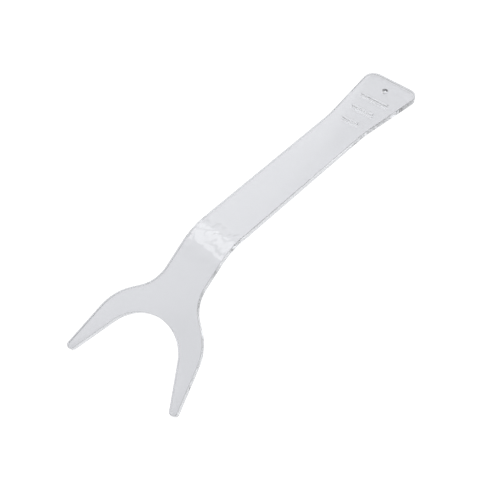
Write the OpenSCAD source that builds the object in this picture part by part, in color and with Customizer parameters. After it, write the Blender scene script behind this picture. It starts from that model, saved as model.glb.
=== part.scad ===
// Cheek retractor, one rigid clear moulding.
// A flat two-pronged fork runs into a short curved neck and a long flat handle that widens to a ridged grip.
// Millimetres. X runs from the fork's tips to the handle's end, Y across the fork, Z up.
// It stands arched over its base plane, on the two tips and the handle's end, centred over the origin.

/* [Overall] */
// Length along X, from the fork's tips to the handle's end
overall_length = 170; // [150:1:204]
// Width across the two tips
overall_width = 50; // [46:1:60]
// Thickness of the whole moulding
thickness = 2.5; // [1.8:0.1:3.6]

/* [Neck] */
// Angle between the fork and the handle
bend_angle = 35; // [22:1:45]
// Radius of the bend on its underside
bend_r = 20; // [12:1:26]
// Width of the neck, where the handle begins
neck_w = 17; // [14:0.5:21]

/* [Fork] */
// Distance along the fork from its tips to where the bend begins
fork_l = 52; // [48:1:62]
// Depth of the gap between the prongs
notch_depth = 26; // [21:0.5:29]
// Radius of the round bottom of the gap
notch_r = 16.3; // [13:0.1:18]
// Radius of each prong's rounded tip
tip_r = 1.6; // [1.2:0.1:2.1]
// Angle by which a prong's outer edge leans in towards the neck
prong_lean = 10; // [6:1:14]
// Distance from the tips to the corner of the shoulder
shoulder_at = 25.4; // [23:0.1:30]
// Radius that rounds the shoulder
shoulder_r = 20; // [8:1:24]
// Angle of the web's edge between shoulder and neck
web_angle = 48; // [42:1:56]
// Radius where the web runs into the neck
web_r = 14; // [8:1:16]

/* [Grip] */
// How much narrower the handle is just before the grip than at the neck
handle_taper = 0.2; // [0.1:0.1:1]
// Length of the widening grip
grip_l = 34; // [28:1:44]
// Width of the grip at the handle's end, before its corners are rounded
grip_w = 24; // [20:0.5:29]
// Radius that blends the handle's edge into the grip
grip_blend_r = 50; // [20:5:90]
// Radius of the corners at the handle's end
corner_r = 4.5; // [3:0.5:6]

/* [Ridges] */
// Length of the ridge nearest the handle's end
ridge_l = 12.5; // [11:0.5:15]
// How much shorter each next ridge is
ridge_step = 2.5; // [1:0.5:3]
// Width of a ridge where it leaves the face
ridge_w = 1.8; // [1:0.1:2.4]
// Height of a ridge off the face
ridge_h = 0.3; // [0.15:0.05:0.5]
// Distance from the handle's end to the first ridge
ridge_at = 14.9; // [14:0.1:17]
// Distance from one ridge to the next
ridge_pitch = 8.4; // [5:0.2:9]

/* [Hang hole] */
// Diameter of the hole through the grip
hole_d = 1.4; // [1:0.1:2]
// Diameter of the hole's countersink on the top face
sink_d = 2.4; // [2.2:0.1:4]
// Depth of the countersink
sink_depth = 0.7; // [0.4:0.1:1.4]
// Distance from the handle's end to the hole's centre
hole_at = 7.6; // [6:0.1:9]

/* [Hidden] */
ridges = 3;
arc_step = 4;
small_arc_step = 10;
clear = [0.86, 0.87, 0.89];

// Side profile: two straight legs joined by the bend, their far lower edges resting on the base plane.
bend_tan = bend_r * tan(bend_angle / 2);
fork_leg = fork_l + bend_tan;
// The other leg of the triangle that has this base
function handle_leg(base) =
    sqrt(pow(base, 2) - pow(fork_leg * sin(bend_angle), 2)) - fork_leg * cos(bend_angle);
// Distance between the two resting edges: the overall length less what the sloping ends overhang
function base_length(steps) =
    steps == 0 ? overall_length
    : let (base = base_length(steps - 1))
      overall_length - thickness * sin(bend_angle) * (fork_leg + handle_leg(base)) / base;
base_l = base_length(6);
handle_l = handle_leg(base_l) - bend_tan;
fork_slope = asin(handle_leg(base_l) * sin(bend_angle) / base_l);
handle_slope = bend_angle - fork_slope;
tips_x = -overall_length / 2 + thickness * sin(fork_slope);
end_x = overall_length / 2 - thickness * sin(handle_slope);
bend_c = [tips_x + fork_l * cos(fork_slope) + bend_r * sin(fork_slope),
          fork_l * sin(fork_slope) - bend_r * cos(fork_slope)];

function unit(angle) = [cos(angle), sin(angle)];
// Points of an arc, both ends included
function arc(centre, r, from, to, step = arc_step) =
    let (n = max(2, ceil(abs(to - from) / step)))
    [for (i = [0 : n]) centre + r * unit(from + (to - from) * i / n)];
// A whole outline from its +Y half, whose first point may lie on the axis
function both_halves(half) = concat(half, [for (i = [len(half) - 1 : -1 : 0]) [half[i].x, -half[i].y]]);

// Fork outline, +Y half, measured along the fork from its tips.
half_neck = neck_w / 2;
tip_c = [tip_r, overall_width / 2 - tip_r];
tip_out = tip_c + tip_r * unit(90 - prong_lean);
shoulder_p = tip_out + (shoulder_at - tip_out.x) / cos(prong_lean) * unit(-prong_lean);
web_p = shoulder_p + (shoulder_p.y - half_neck) / sin(web_angle) * unit(-web_angle);
shoulder_tan = shoulder_r * tan((web_angle - prong_lean) / 2);
shoulder_c = shoulder_p - shoulder_tan * unit(-prong_lean) - shoulder_r * unit(90 - prong_lean);
web_c = web_p + [web_r * tan(web_angle / 2), web_r];
// The gap: a round bottom and two straight sides that also touch the round tips
notch_c = [notch_depth - notch_r, 0];
tip_from_notch = tip_c - notch_c;
notch_side = atan2(tip_from_notch.y, tip_from_notch.x) - acos((notch_r + tip_r) / norm(tip_from_notch));

// Handle outline, +Y half, measured along the handle from the bend.
waist_p = [handle_l - grip_l, half_neck - handle_taper / 2];
waist_lean = atan(handle_taper / 2 / waist_p.x);
grip_slant = atan((grip_w / 2 - waist_p.y) / grip_l);
blend_tan = grip_blend_r * tan((waist_lean + grip_slant) / 2);
blend_c = waist_p - blend_tan * unit(-waist_lean) + grip_blend_r * unit(90 - waist_lean);
corner_c = [handle_l - corner_r, grip_w / 2 - corner_r * tan((90 + grip_slant) / 2)];

// How far the strip and the cuts run past what they cut
past = 4 * thickness;
// A rod sunk into a face leaves a ridge of the wanted width and height.
ridge_r = (pow(ridge_w / 2, 2) + pow(ridge_h, 2)) / (2 * ridge_h);

// Places its children on the underside of the fork, X along the fork from its tips
module on_fork() {
    translate([tips_x, 0, 0]) rotate([0, -fork_slope, 0]) children();
}

// Places its children on the underside of the handle, X along the handle from the bend
module on_handle() {
    translate([end_x, 0, 0]) rotate([0, handle_slope, 0]) translate([-handle_l, 0, 0]) children();
}

// The outline of a half-open plate cut out of a wide sheet: what is left to remove
module offcut(from, to, outline) {
    translate([0, 0, -past]) linear_extrude(thickness + 2 * past) difference() {
        translate([from, -overall_width]) square([to - from, 2 * overall_width]);
        polygon(outline);
    }
}

// The wide strip, bent as the neck is and longer than the part at both ends
module strip() {
    fork_dir = unit(fork_slope);
    handle_dir = unit(-handle_slope);
    under = concat([[tips_x, 0] - past * fork_dir],
                   arc(bend_c, bend_r, 90 + fork_slope, 90 - handle_slope, arc_step / 2),
                   [[end_x, 0] + past * handle_dir]);
    over = concat([[end_x, 0] + past * handle_dir + thickness * unit(90 - handle_slope)],
                  arc(bend_c, bend_r + thickness, 90 - handle_slope, 90 + fork_slope, arc_step / 2),
                  [[tips_x, 0] - past * fork_dir + thickness * unit(90 + fork_slope)]);
    rotate([90, 0, 0]) linear_extrude(1.5 * overall_width, center = true)
        polygon(concat(under, over));
}

module fork_offcut() {
    half = concat(arc(notch_c, notch_r, 0, notch_side),
                  arc(tip_c, tip_r, 180 + notch_side, 90 - prong_lean, small_arc_step),
                  arc(shoulder_c, shoulder_r, 90 - prong_lean, 90 - web_angle),
                  arc(web_c, web_r, 270 - web_angle, 270),
                  [[fork_leg + 2 * past, half_neck]]);
    on_fork() offcut(-2 * past, fork_leg + past,
                     both_halves([for (i = [1 : len(half) - 1]) half[i]]));
}

module handle_offcut() {
    half = concat([waist_p - (waist_p.x + bend_tan + 2 * past) / cos(waist_lean) * unit(-waist_lean)],
                  arc(blend_c, grip_blend_r, 270 - waist_lean, 270 + grip_slant, arc_step / 2),
                  arc(corner_c, corner_r, 90 + grip_slant, 0, small_arc_step));
    on_handle() offcut(-bend_tan - past, handle_l + 2 * past, both_halves(half));
}

// A ridge on the underside and its twin on the top face, each a rod whose far side is cut off inside the plate
module ridge(length) {
    for (face = [0, 1]) translate([0, 0, face * thickness]) mirror([0, 0, face])
        intersection() {
            translate([0, 0, ridge_r - ridge_h]) rotate([90, 0, 0])
                cylinder(r = ridge_r, h = length, center = true, $fn = 48);
            translate([-ridge_w, -length, -thickness])
                cube([2 * ridge_w, 2 * length, 1.4 * thickness]);
        }
}

// The hole right through, and the cone that opens it out on the top face
module hang_hole() {
    translate([0, 0, -past]) cylinder(r = hole_d / 2, h = thickness + 2 * past, $fn = 48);
    translate([0, 0, thickness - sink_depth])
        cylinder(r1 = hole_d / 2, r2 = sink_d - hole_d / 2, h = 2 * sink_depth, $fn = 48);
}

module retractor() {
    color(clear) difference() {
        union() {
            difference() {
                strip();
                fork_offcut();
                handle_offcut();
            }
            on_handle() for (i = [0 : ridges - 1])
                translate([handle_l - ridge_at - i * ridge_pitch, 0, 0])
                    ridge(ridge_l - i * ridge_step);
        }
        on_handle() translate([handle_l - hole_at, 0, 0]) hang_hole();
    }
}

retractor();
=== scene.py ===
"""Cheek retractor: one clear moulding, a two-pronged fork on a bent neck and a ridged handle."""
import math

import bpy
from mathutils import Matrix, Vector


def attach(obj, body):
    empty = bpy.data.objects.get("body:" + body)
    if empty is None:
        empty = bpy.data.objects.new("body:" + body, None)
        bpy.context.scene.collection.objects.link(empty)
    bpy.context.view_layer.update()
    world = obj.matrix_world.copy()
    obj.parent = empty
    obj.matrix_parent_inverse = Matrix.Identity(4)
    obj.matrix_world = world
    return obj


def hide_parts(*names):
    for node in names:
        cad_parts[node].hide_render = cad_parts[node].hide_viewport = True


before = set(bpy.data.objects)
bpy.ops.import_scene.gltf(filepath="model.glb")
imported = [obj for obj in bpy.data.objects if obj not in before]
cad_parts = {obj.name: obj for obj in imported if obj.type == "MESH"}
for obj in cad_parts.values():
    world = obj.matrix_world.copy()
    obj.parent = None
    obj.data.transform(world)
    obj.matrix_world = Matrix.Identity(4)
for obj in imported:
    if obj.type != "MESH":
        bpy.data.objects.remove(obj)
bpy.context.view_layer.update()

MM = 0.001

# ---- Sizes of the moulding, in millimetres and degrees, the same as the CAD part's
OVERALL_LENGTH = 170.0
OVERALL_WIDTH = 50.0
THICKNESS = 2.5
BEND_ANGLE = 35.0
BEND_R = 20.0
NECK_W = 17.0
FORK_L = 52.0
NOTCH_DEPTH = 26.0
NOTCH_R = 16.3
TIP_R = 1.6
PRONG_LEAN = 10.0
SHOULDER_AT = 25.4
SHOULDER_R = 20.0
WEB_ANGLE = 48.0
WEB_R = 14.0
HANDLE_TAPER = 0.2
GRIP_L = 34.0
GRIP_W = 24.0
GRIP_BLEND_R = 50.0
CORNER_R = 4.5
RIDGES = 3
RIDGE_L = 12.5
RIDGE_STEP = 2.5
RIDGE_H = 0.3
RIDGE_AT = 14.9
RIDGE_PITCH = 8.4
HOLE_D = 1.4
SINK_D = 2.4
SINK_DEPTH = 0.7
HOLE_AT = 7.6

# ---- Rounding that the CAD part doesn't have: the moulding's rims and the ends of the ridges
RIM_R = 0.3
RIDGE_END_R = 0.5

# ---- Fineness of the mesh: degrees in a step of a wide arc and of a small one, and counts of steps
ARC_STEP = 4.0
SMALL_ARC_STEP = 10.0
BEND_STEPS = 18
RIM_STEPS = 4
RIDGE_END_STEPS = 5
ROUND_SIDES = 48
# Edges that turn by more degrees than this are rounded
RIM_OVER = 60.0
# Creases that turn by fewer degrees than this are shaded smooth
SMOOTH_UNDER = 25.0
# Points closer than this are one
TOUCH = 0.002 * MM

# ---- Looks of the clear plastic
REFRACTION = 1.53
# What each face lets through, how much the melt's flow varies it, and its hue
TINT = 0.608
TINT_SPREAD = 0.015
FLOW_SCALE = 45.0
COOL_TINT = (1.0, 1.012, 1.055, 1)
# How much painted shade darkens the rims, where their curves refract a dark room. They are the faces
# between a side wall, at 0, and a flat one, at 1
RIM_PAINTED_SHADE = 0.35
RIM_BETWEEN = (0.1, 0.95)
# Gloss, and how much handling and wear dull it
ROUGH = 0.035
SCUFF = 0.05
HANDLING_SCALE = 380.0
# Fine scratches: their fineness along, across and through the part, and their depth in millimetres
SCRATCH_SCALE = (60, 2600, 400)
SCRATCH_DEPTH = 0.01
# The wavy face of the bend: height and scale of the waves, and where along X they fade, in millimetres
WAVE_H = 0.8
WAVE_SCALE = 220.0
WAVE_TWIST = 0.6
WAVE_SHIFT = -2.0
WAVE_IN = 4.0
WAVE_OUT = 11.0

# ---- Studio, in metres: a white table, a backdrop that brightens behind the part, and one softbox
FLOOR_SIZE = 8
FLOOR_GLOW = 0.92
FLOOR_PAINT = 0.2
BACKDROP_AT = (0.80, 0.45, 0.30)
BACKDROP = 1.6
ROOM = 0.4
BOX_AT = (0.16, 0.29, 0.66)
BOX_AIM = (-0.028, 0, 0.02)
BOX_SIZE = (0.42, 0.42)
BOX_POWER = 1.15
CAMERA_AT = (-0.24650, -0.21375, 0.42728)
CAMERA_TURN = (36.294, 3.418, -52.434)
CAMERA_LENS = 103.643
# Light bounces many times between the faces of clear plastic
BOUNCES = 32


def sind(a):
    return math.sin(math.radians(a))


def cosd(a):
    return math.cos(math.radians(a))


def tand(a):
    return math.tan(math.radians(a))


def unit(a):
    return Vector((cosd(a), sind(a)))


# ---- Side profile: fork and handle are two flat legs, joined by the bend
half_neck = NECK_W / 2
bend_tan = BEND_R * tand(BEND_ANGLE / 2)
fork_leg = FORK_L + bend_tan


def handle_leg(base):
    """The other leg of the triangle that has this base."""
    return math.sqrt(base**2 - (fork_leg * sind(BEND_ANGLE)) ** 2) - fork_leg * cosd(BEND_ANGLE)


# The two resting edges are closer than the overall length by what the sloping ends overhang
base_l = OVERALL_LENGTH
for _ in range(6):
    base_l = OVERALL_LENGTH - THICKNESS * sind(BEND_ANGLE) * (fork_leg + handle_leg(base_l)) / base_l
handle_l = handle_leg(base_l) - bend_tan
fork_slope = math.degrees(math.asin(handle_leg(base_l) * sind(BEND_ANGLE) / base_l))
handle_slope = BEND_ANGLE - fork_slope
tips_x = -OVERALL_LENGTH / 2 + THICKNESS * sind(fork_slope)
end_x = OVERALL_LENGTH / 2 - THICKNESS * sind(handle_slope)


class Plate:
    """The underside of a flat leg: its own X runs along the leg, its Y across."""

    def __init__(self, rests_at, slope, start):
        """Rests on the base plane at one end, which lies at this start along its own X."""
        self.along = Vector((cosd(slope), 0, sind(slope)))
        self.normal = Vector((-sind(slope), 0, cosd(slope)))
        self.origin = Vector((rests_at, 0, 0)) * MM - self.along * start * MM

    def at(self, p, height=0.0):
        """The place of a point of the plate, or of one at a height above it."""
        return (self.origin + self.along * p[0] * MM + Vector((0, p[1] * MM, 0))
                + self.normal * height * MM)


fork = Plate(tips_x, fork_slope, 0.0)
handle = Plate(end_x, -handle_slope, handle_l)
bend_centre = fork.at((FORK_L, 0), -BEND_R)


# ---- Drawing with the edit-mode tools
def clear_selection():
    for o in bpy.context.selected_objects:
        o.select_set(False)


def choose(obj):
    """Makes this the only selected object and the active one."""
    clear_selection()
    obj.select_set(True)
    bpy.context.view_layer.objects.active = obj


def enter(obj):
    choose(obj)
    bpy.ops.object.mode_set(mode="EDIT")


def leave():
    bpy.ops.object.mode_set(mode="OBJECT")


def pick(obj, kind, test):
    """Selects the vertices or the faces that pass the test, and nothing else."""
    bpy.ops.mesh.select_mode(type=kind)
    bpy.ops.mesh.select_all(action="DESELECT")
    leave()
    for element in obj.data.vertices if kind == "VERT" else obj.data.polygons:
        element.select = test(element)
    bpy.ops.object.mode_set(mode="EDIT")


def near(vertex, *points):
    """Whether the vertex lies at one of the points."""
    return any((vertex.co - p).length < TOUCH for p in points)


def apply_modifier(obj, kind, **values):
    choose(obj)
    mod = obj.modifiers.new(kind.title(), kind)
    for key, value in values.items():
        setattr(mod, key, value)
    bpy.ops.object.modifier_apply(modifier=mod.name)


class Pen:
    """Draws an outline on a plate, by extruding the last point."""

    def __init__(self, plate, at):
        self.plate, self.at = plate, Vector(at)

    def line(self, to):
        to = Vector(to)
        bpy.ops.mesh.extrude_region_move(
            TRANSFORM_OT_translate={"value": self.plate.at(to) - self.plate.at(self.at)})
        self.at = to

    def arc(self, centre, angle, step=ARC_STEP):
        """Turns about the centre by the angle, positive from the plate's X towards its Y."""
        centre = Vector(centre)
        bpy.ops.mesh.spin(steps=max(2, math.ceil(abs(angle) / step)), angle=-math.radians(angle),
                          center=self.plate.at(centre), axis=self.plate.normal)
        arm = self.at - centre
        self.at = centre + Vector((arm.x * cosd(angle) - arm.y * sind(angle),
                                   arm.x * sind(angle) + arm.y * cosd(angle)))


# ---- The moulding
def draw_fork():
    """The fork's +Y half: the gap, the rounded tip, the prong's outer edge, the shoulder and the web."""
    clear_selection()
    bpy.ops.mesh.primitive_plane_add(size=MM, location=fork.at((NOTCH_DEPTH, 0)))
    half = bpy.context.object
    half.name = "clear_retractor"
    bpy.ops.object.transform_apply(location=True, rotation=False, scale=False)
    enter(half)
    bpy.ops.mesh.select_mode(type="VERT")
    bpy.ops.mesh.select_all(action="SELECT")
    bpy.ops.mesh.merge(type="CENTER")

    tip_c = Vector((TIP_R, OVERALL_WIDTH / 2 - TIP_R))
    notch_c = Vector((NOTCH_DEPTH - NOTCH_R, 0))
    reach = tip_c - notch_c
    notch_side = (math.degrees(math.atan2(reach.y, reach.x))
                  - math.degrees(math.acos((NOTCH_R + TIP_R) / reach.length)))
    tip_out = tip_c + TIP_R * unit(90 - PRONG_LEAN)
    shoulder_p = tip_out + (SHOULDER_AT - tip_out.x) / cosd(PRONG_LEAN) * unit(-PRONG_LEAN)
    web_p = shoulder_p + (shoulder_p.y - half_neck) / sind(WEB_ANGLE) * unit(-WEB_ANGLE)
    shoulder_tan = SHOULDER_R * tand((WEB_ANGLE - PRONG_LEAN) / 2)
    shoulder_c = shoulder_p - shoulder_tan * unit(-PRONG_LEAN) - SHOULDER_R * unit(90 - PRONG_LEAN)
    web_c = web_p + Vector((WEB_R * tand(WEB_ANGLE / 2), WEB_R))

    pen = Pen(fork, (NOTCH_DEPTH, 0))
    pen.arc(notch_c, notch_side)
    pen.line(tip_c + TIP_R * unit(180 + notch_side))
    pen.arc(tip_c, -(90 + PRONG_LEAN + notch_side), SMALL_ARC_STEP)
    pen.line(shoulder_c + SHOULDER_R * unit(90 - PRONG_LEAN))
    pen.arc(shoulder_c, -(WEB_ANGLE - PRONG_LEAN))
    pen.line(web_c + WEB_R * unit(270 - WEB_ANGLE))
    pen.arc(web_c, WEB_ANGLE)
    pen.line((FORK_L, half_neck))
    pen.line((FORK_L, 0))
    bpy.ops.mesh.select_all(action="SELECT")
    bpy.ops.mesh.edge_face_add()
    return half


def draw_bend(half):
    """Turns the neck's edge about the bend's centre."""
    neck_edge = fork.at((FORK_L, half_neck)), fork.at((FORK_L, 0))
    pick(half, "VERT", lambda v: near(v, *neck_edge))
    bpy.ops.mesh.spin(steps=BEND_STEPS, angle=-math.radians(BEND_ANGLE), center=bend_centre,
                      axis=(0, 1, 0))


def draw_handle(half):
    """The handle's +Y half: its edge, the widening grip, the corner, the end and the hang hole."""
    waist_p = Vector((handle_l - GRIP_L, half_neck - HANDLE_TAPER / 2))
    waist_lean = math.degrees(math.atan(HANDLE_TAPER / 2 / waist_p.x))
    grip_slant = math.degrees(math.atan((GRIP_W / 2 - waist_p.y) / GRIP_L))
    blend_tan = GRIP_BLEND_R * tand((waist_lean + grip_slant) / 2)
    blend_c = waist_p - blend_tan * unit(-waist_lean) + GRIP_BLEND_R * unit(90 - waist_lean)
    corner_c = Vector((handle_l - CORNER_R, GRIP_W / 2 - CORNER_R * tand((90 + grip_slant) / 2)))

    bend_end = handle.at((0, half_neck))
    pick(half, "VERT", lambda v: near(v, bend_end))
    pen = Pen(handle, (0, half_neck))
    pen.line(blend_c + GRIP_BLEND_R * unit(270 - waist_lean))
    pen.arc(blend_c, waist_lean + grip_slant, ARC_STEP / 2)
    pen.line(corner_c + CORNER_R * unit(90 + grip_slant))
    pen.arc(corner_c, -(90 + grip_slant), SMALL_ARC_STEP)
    pen.line((handle_l, 0))
    pen.line((handle_l - HOLE_AT + HOLE_D / 2, 0))
    pen.arc((handle_l - HOLE_AT, 0), 180, SMALL_ARC_STEP)
    pen.line((0, 0))
    bpy.ops.mesh.select_all(action="SELECT")
    bpy.ops.mesh.remove_doubles(threshold=TOUCH)
    pick(half, "VERT", lambda v: v.co.x > bend_end.x - TOUCH)
    bpy.ops.mesh.edge_face_add()
    leave()


def ridge_rod():
    """A rod in the middle of the plate. It stands out of both faces as the ridge nearest the end."""
    clear_selection()
    bpy.ops.mesh.primitive_cylinder_add(
        vertices=ROUND_SIDES, radius=(THICKNESS / 2 + RIDGE_H) * MM, depth=RIDGE_L * MM,
        location=handle.at((handle_l - RIDGE_AT, 0), THICKNESS / 2),
        rotation=(math.radians(90), 0, 0))
    rod = bpy.context.object
    bpy.ops.object.transform_apply(location=True, rotation=True, scale=True)
    enter(rod)
    pick(rod, "FACE", lambda f: abs(f.normal.y) > 0.9)
    bpy.ops.mesh.bevel(offset=RIDGE_END_R * MM, segments=RIDGE_END_STEPS, affect="EDGES")
    leave()
    return rod


def add_ridge(target, rod, i):
    """Joins the i-th ridge on: a copy of the rod, moved up the handle and shortened at both ends."""
    ridge = rod.copy()
    ridge.data = rod.data.copy()
    bpy.context.scene.collection.objects.link(ridge)
    enter(ridge)
    bpy.ops.mesh.select_all(action="SELECT")
    bpy.ops.transform.translate(value=-handle.along * i * RIDGE_PITCH * MM)
    for side in (-1, 1):
        pick(ridge, "VERT", lambda v: v.co.y * side > 0)
        bpy.ops.transform.translate(value=(0, -side * i * RIDGE_STEP / 2 * MM, 0))
    leave()
    apply_modifier(target, "BOOLEAN", operation="UNION", solver="EXACT", object=ridge)
    bpy.data.objects.remove(ridge)


def countersink(target):
    """Opens the hang hole out on the top face."""
    clear_selection()
    bpy.ops.mesh.primitive_cone_add(
        vertices=ROUND_SIDES, radius1=HOLE_D / 2 * MM, radius2=(SINK_D - HOLE_D / 2) * MM,
        depth=2 * SINK_DEPTH * MM, location=handle.at((handle_l - HOLE_AT, 0), THICKNESS),
        rotation=(0, math.radians(handle_slope), 0))
    cone = bpy.context.object
    bpy.ops.object.transform_apply(location=True, rotation=True, scale=True)
    apply_modifier(target, "BOOLEAN", operation="DIFFERENCE", solver="EXACT", object=cone)
    bpy.data.objects.remove(cone)


def mould():
    """The drawn half, mirrored, thickened and rounded, with the ridges and the hole's countersink."""
    part = draw_fork()
    draw_bend(part)
    draw_handle(part)
    apply_modifier(part, "MIRROR", use_axis=(False, True, False), use_mirror_merge=True,
                   merge_threshold=TOUCH)
    # The thickness grows upwards from the underside, so the sheet has to face up.
    if sum(f.normal.z * f.area for f in part.data.polygons) < 0:
        enter(part)
        bpy.ops.mesh.select_all(action="SELECT")
        bpy.ops.mesh.flip_normals()
        leave()
    apply_modifier(part, "SOLIDIFY", thickness=THICKNESS * MM, offset=1.0, use_even_offset=True)
    apply_modifier(part, "BEVEL", width=RIM_R * MM, segments=RIM_STEPS, limit_method="ANGLE",
                   angle_limit=math.radians(RIM_OVER))
    rod = ridge_rod()
    for i in range(RIDGES):
        add_ridge(part, rod, i)
    bpy.data.objects.remove(rod)
    countersink(part)
    choose(part)
    bpy.ops.object.shade_smooth_by_angle(angle=math.radians(SMOOTH_UNDER))
    # The wide faces stay flat in the light, right up to the rims.
    apply_modifier(part, "WEIGHTED_NORMAL", keep_sharp=True, weight=100)
    return part


def up_at(place):
    """Square to the plate at a place: the bend turns it from the fork's to the handle's."""
    arm = place - bend_centre
    lean = min(max(math.atan2(arm.x, arm.z), -math.radians(fork_slope)), math.radians(handle_slope))
    return Vector((math.sin(lean), 0, math.cos(lean)))


def mark_rims(part):
    """Marks the faces that lean, the rounded rims, the ridges' flanks and the countersink, for painted
    shade and for wear.
    """
    low, high = RIM_BETWEEN
    rims = part.data.attributes.new("rim", "FLOAT", "FACE")
    for f in part.data.polygons:
        rims.data[f.index].value = float(low < abs(f.normal.dot(up_at(f.center))) < high)


# ---- Materials
class Nodes:
    """The nodes of a material or of the world."""

    def __init__(self, owner):
        owner.use_nodes = True
        self.tree = owner.node_tree

    def add(self, kind, label, **values):
        """A node with its settings and its unlinked inputs."""
        node = self.tree.nodes.new(kind)
        node.name = node.label = label
        for key, value in values.items():
            if key in node.inputs:
                node.inputs[key].default_value = value
            else:
                setattr(node, key, value)
        return node

    def remap(self, label, taken, given, **settings):
        """A node that turns the taken range of values into the given one."""
        node = self.add("ShaderNodeMapRange", label, **settings)
        for socket, value in zip(("From Min", "From Max", "To Min", "To Max"), taken + given):
            node.inputs[socket].default_value = value
        return node

    def link(self, source, output, target, socket):
        self.tree.links.new(source.outputs[output], target.inputs[socket])


def colour_socket(sockets, name):
    """A mix node has a socket of each name for every kind of data: this is the colour one."""
    return next(s for s in sockets if s.name == name and s.type == "RGBA")


def tint_and_shade_plastic(nodes, place, rim, shader):
    """A cool tint that the melt's flow leaves a little uneven, and painted shade that darkens the
    rounded rims.
    """
    flow = nodes.add("ShaderNodeTexNoise", "melt flow", Scale=FLOW_SCALE, Detail=2.0, Distortion=0.8)
    depth = nodes.remap("tint depth", (0.0, 1.0), (TINT * (1 - TINT_SPREAD), TINT * (1 + TINT_SPREAD)))
    # Painted shade: the rims, the ridges' flanks and the countersink are made darker by this share
    painted_rim_shade = nodes.remap("painted rim shade", (0.0, 1.0), (1.0, 1.0 - RIM_PAINTED_SHADE))
    shaded = nodes.add("ShaderNodeMath", "shaded", operation="MULTIPLY")
    cool = nodes.add("ShaderNodeMix", "cool tint", data_type="RGBA", blend_type="MULTIPLY", Factor=1.0)
    colour_socket(cool.inputs, "B").default_value = COOL_TINT
    nodes.link(place, "Object", flow, "Vector")
    nodes.link(flow, "Fac", depth, "Value")
    nodes.link(rim, "Fac", painted_rim_shade, "Value")
    nodes.link(depth, "Result", shaded, 0)
    nodes.link(painted_rim_shade, "Result", shaded, 1)
    nodes.tree.links.new(shaded.outputs["Value"], colour_socket(cool.inputs, "A"))
    nodes.tree.links.new(colour_socket(cool.outputs, "Result"), shader.inputs["Base Color"])


def dull_plastic(nodes, place, rim, shader):
    """Handling leaves dull spots and, on the rims, wear."""
    smudge = nodes.add("ShaderNodeTexNoise", "handling", Scale=HANDLING_SCALE, Detail=5.0, Roughness=0.6)
    dull = nodes.remap("dull spots", (0.5, 0.75), (ROUGH, ROUGH + SCUFF))
    worn = nodes.add("ShaderNodeMath", "worn rims", operation="MULTIPLY_ADD")
    worn.inputs[1].default_value = SCUFF
    nodes.link(place, "Object", smudge, "Vector")
    nodes.link(smudge, "Fac", dull, "Value")
    nodes.link(rim, "Fac", worn, 0)
    nodes.link(dull, "Result", worn, 2)
    nodes.link(worn, "Value", shader, "Roughness")


def wave_plastic(nodes, place):
    """The bend was formed warm: its face is wavy there, and only there."""
    split = nodes.add("ShaderNodeSeparateXYZ", "split")
    off_bend = nodes.add("ShaderNodeMath", "off the bend", operation="SUBTRACT")
    off_bend.inputs[1].default_value = bend_centre.x + WAVE_SHIFT * MM
    far = nodes.add("ShaderNodeMath", "distance from the bend", operation="ABSOLUTE")
    fade = nodes.remap("fade", (WAVE_IN * MM, WAVE_OUT * MM), (1.0, 0.0),
                       interpolation_type="SMOOTHSTEP")
    waves = nodes.add("ShaderNodeTexNoise", "waves", Scale=WAVE_SCALE, Detail=1.0, Distortion=WAVE_TWIST)
    wavy = nodes.add("ShaderNodeMath", "wavy bend", operation="MULTIPLY")
    bump = nodes.add("ShaderNodeBump", "bend bump", Strength=1.0, Distance=WAVE_H * MM)
    nodes.link(place, "Object", split, "Vector")
    nodes.link(split, "X", off_bend, 0)
    nodes.link(off_bend, "Value", far, 0)
    nodes.link(far, "Value", fade, "Value")
    nodes.link(place, "Object", waves, "Vector")
    nodes.link(waves, "Fac", wavy, 0)
    nodes.link(fade, "Result", wavy, 1)
    nodes.link(wavy, "Value", bump, "Height")
    return bump


def scratch_plastic(nodes, place, bend_bump, shader):
    """Fine scratches run along the part."""
    stretch = nodes.add("ShaderNodeMapping", "along the part", Scale=SCRATCH_SCALE)
    scratch = nodes.add("ShaderNodeTexNoise", "scratches", Scale=1.0, Detail=3.0)
    deep = nodes.remap("only the deepest", (0.66, 0.74), (0.0, 1.0))
    bump = nodes.add("ShaderNodeBump", "scratch bump", invert=True, Strength=0.15,
                     Distance=SCRATCH_DEPTH * MM)
    nodes.link(place, "Object", stretch, "Vector")
    nodes.link(stretch, "Vector", scratch, "Vector")
    nodes.link(scratch, "Fac", deep, "Value")
    nodes.link(deep, "Result", bump, "Height")
    nodes.link(bend_bump, "Normal", bump, "Normal")
    nodes.link(bump, "Normal", shader, "Normal")


def clear_plastic():
    """Clear plastic: tinted, with painted shade on its rims, dulled in spots, wavy at the bend and
    finely scratched.
    """
    plastic = bpy.data.materials.new("clear_plastic")
    nodes = Nodes(plastic)
    shader = nodes.tree.nodes["Principled BSDF"]
    shader.inputs["IOR"].default_value = REFRACTION
    shader.inputs["Transmission Weight"].default_value = 1.0
    place = nodes.add("ShaderNodeTexCoord", "place")
    rim = nodes.add("ShaderNodeAttribute", "rim", attribute_name="rim")
    tint_and_shade_plastic(nodes, place, rim, shader)
    dull_plastic(nodes, place, rim, shader)
    bend_bump = wave_plastic(nodes, place)
    scratch_plastic(nodes, place, bend_bump, shader)
    return plastic


# ---- Stage
def white_paper():
    """Matt white paper that glows, so that it stays white all over."""
    paper = bpy.data.materials.new("white_paper")
    shader = Nodes(paper).tree.nodes["Principled BSDF"]
    shader.inputs["Base Color"].default_value = (FLOOR_PAINT, FLOOR_PAINT, FLOOR_PAINT, 1)
    shader.inputs["Roughness"].default_value = 0.9
    shader.inputs["Specular IOR Level"].default_value = 0.0
    shader.inputs["Emission Color"].default_value = (1, 1, 1, 1)
    shader.inputs["Emission Strength"].default_value = FLOOR_GLOW
    return paper


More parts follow.
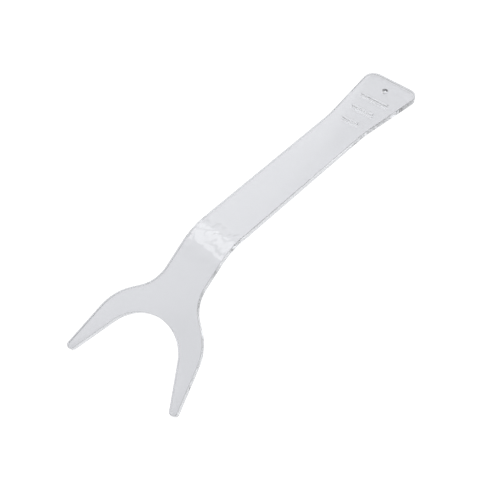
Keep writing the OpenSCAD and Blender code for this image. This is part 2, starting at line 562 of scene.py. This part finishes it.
def white_room():
    """A backdrop that lights the part from behind. Seen directly, the room is plain white."""
    world = bpy.data.worlds.new("studio")
    nodes = Nodes(world)
    direction = nodes.add("ShaderNodeTexCoord", "direction")
    facing = nodes.add("ShaderNodeVectorMath", "toward the backdrop", operation="DOT_PRODUCT")
    facing.inputs[1].default_value = Vector(BACKDROP_AT).normalized()
    glow = nodes.remap("backdrop", (-0.6, 0.9), (ROOM, BACKDROP), interpolation_type="SMOOTHSTEP")
    ray = nodes.add("ShaderNodeLightPath", "kind of ray")
    seen = nodes.add("ShaderNodeMix", "white when seen", B=1.0)
    nodes.link(direction, "Generated", facing, 0)
    nodes.link(facing, "Value", glow, "Value")
    nodes.link(ray, "Is Camera Ray", seen, "Factor")
    nodes.link(glow, "Result", seen, "A")
    background = nodes.tree.nodes["Background"]
    background.inputs["Color"].default_value = (1, 1, 1, 1)
    nodes.link(seen, "Result", background, "Strength")
    return world


def softbox(name, place, aim, size, power):
    """A soft rectangular studio light. It shines on the plastic but isn't seen through it."""
    data = bpy.data.lights.new(name, "AREA")
    data.shape = "RECTANGLE"
    data.size, data.size_y = size
    data.energy = power
    lamp = bpy.data.objects.new(name, data)
    bpy.context.scene.collection.objects.link(lamp)
    lamp.location = place
    lamp.rotation_euler = (Vector(aim) - Vector(place)).to_track_quat("-Z", "Y").to_euler()
    lamp.visible_transmission = False


def camera():
    """Stands beyond the fork's tips and looks down on the part, with the handle running away."""
    data = bpy.data.cameras.new("camera")
    data.lens = CAMERA_LENS
    data.sensor_width = 36
    data.clip_start = 0.01
    stand = bpy.data.objects.new("camera", data)
    bpy.context.scene.collection.objects.link(stand)
    stand.location = CAMERA_AT
    stand.rotation_euler = [math.radians(a) for a in CAMERA_TURN]
    return stand


# ---- The part and its studio
retractor = mould()
retractor.data.materials.clear()
retractor.data.materials.append(clear_plastic())
mark_rims(retractor)
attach(retractor, "root")
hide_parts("retractor")

clear_selection()
bpy.ops.mesh.primitive_plane_add(size=FLOOR_SIZE, location=(0, 0, 0))
floor = bpy.context.object
floor.name = "floor"
floor.data.materials.append(white_paper())

bpy.context.scene.world = white_room()
softbox("back_softbox", BOX_AT, BOX_AIM, BOX_SIZE, BOX_POWER)
bpy.context.scene.camera = camera()
bpy.context.scene.view_settings.view_transform = "Standard"
cycles = bpy.context.scene.cycles
cycles.max_bounces = cycles.glossy_bounces = cycles.transmission_bounces = BOUNCES
